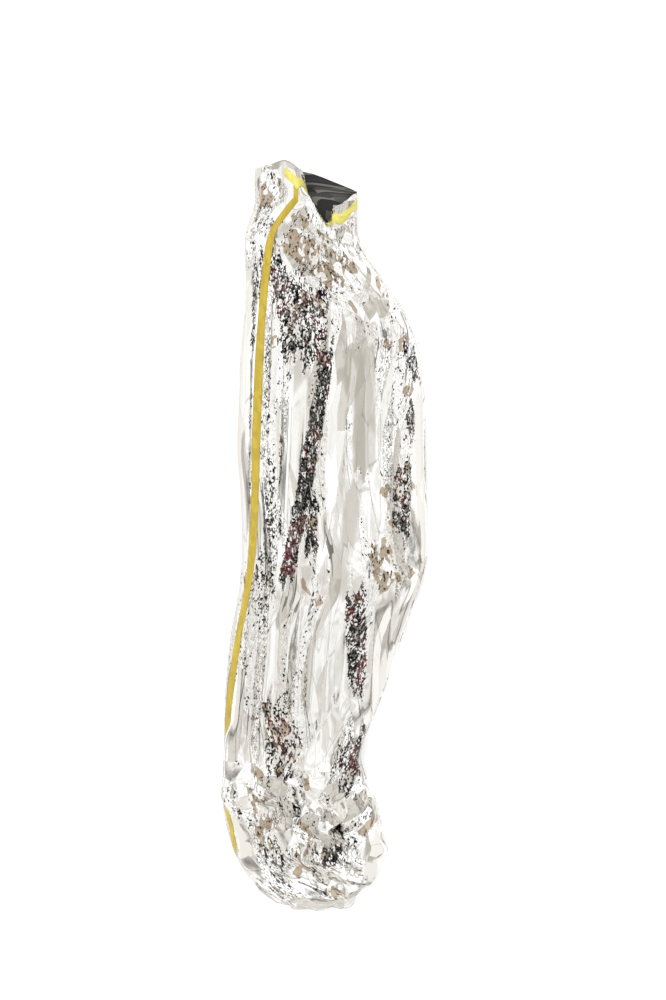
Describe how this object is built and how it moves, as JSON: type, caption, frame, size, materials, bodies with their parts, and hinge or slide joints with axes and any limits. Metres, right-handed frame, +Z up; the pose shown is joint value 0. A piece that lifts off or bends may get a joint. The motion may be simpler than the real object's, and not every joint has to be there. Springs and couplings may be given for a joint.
{
  "type": "emergency sleeping bag",
  "caption": "Foil emergency sleeping bag laid out on its back: a crinkled silver film tube with an open mouth, a crumpled closed foot, and yellow taped seam, hem and foot.",
  "frame": {"origin": "middle of the bag's bounding box in plan, on the surface the bag lies on", "axes": "+X towards the bag's plain right edge (its taped seam runs along the left), +Y along the bag towards its mouth, +Z up from the surface"},
  "size_m": [0.4721, 1.7126, 0.1215],
  "materials": {
    "film": "vacuum-coated plastic film, mirror-bright and finely crinkled",
    "side_tape": "satin plastic tape, deep yellow, lightly creased",
    "mouth_tape": "satin plastic tape, pale yellow, lightly creased",
    "foot_tape": "satin plastic tape, dull yellow, lightly creased"
  },
  "bodies": {
    "root": {"bag_film": "film", "side_tape": "side_tape", "mouth_tape": "mouth_tape", "foot_tape": "foot_tape"}
  },
  "joints": []
}
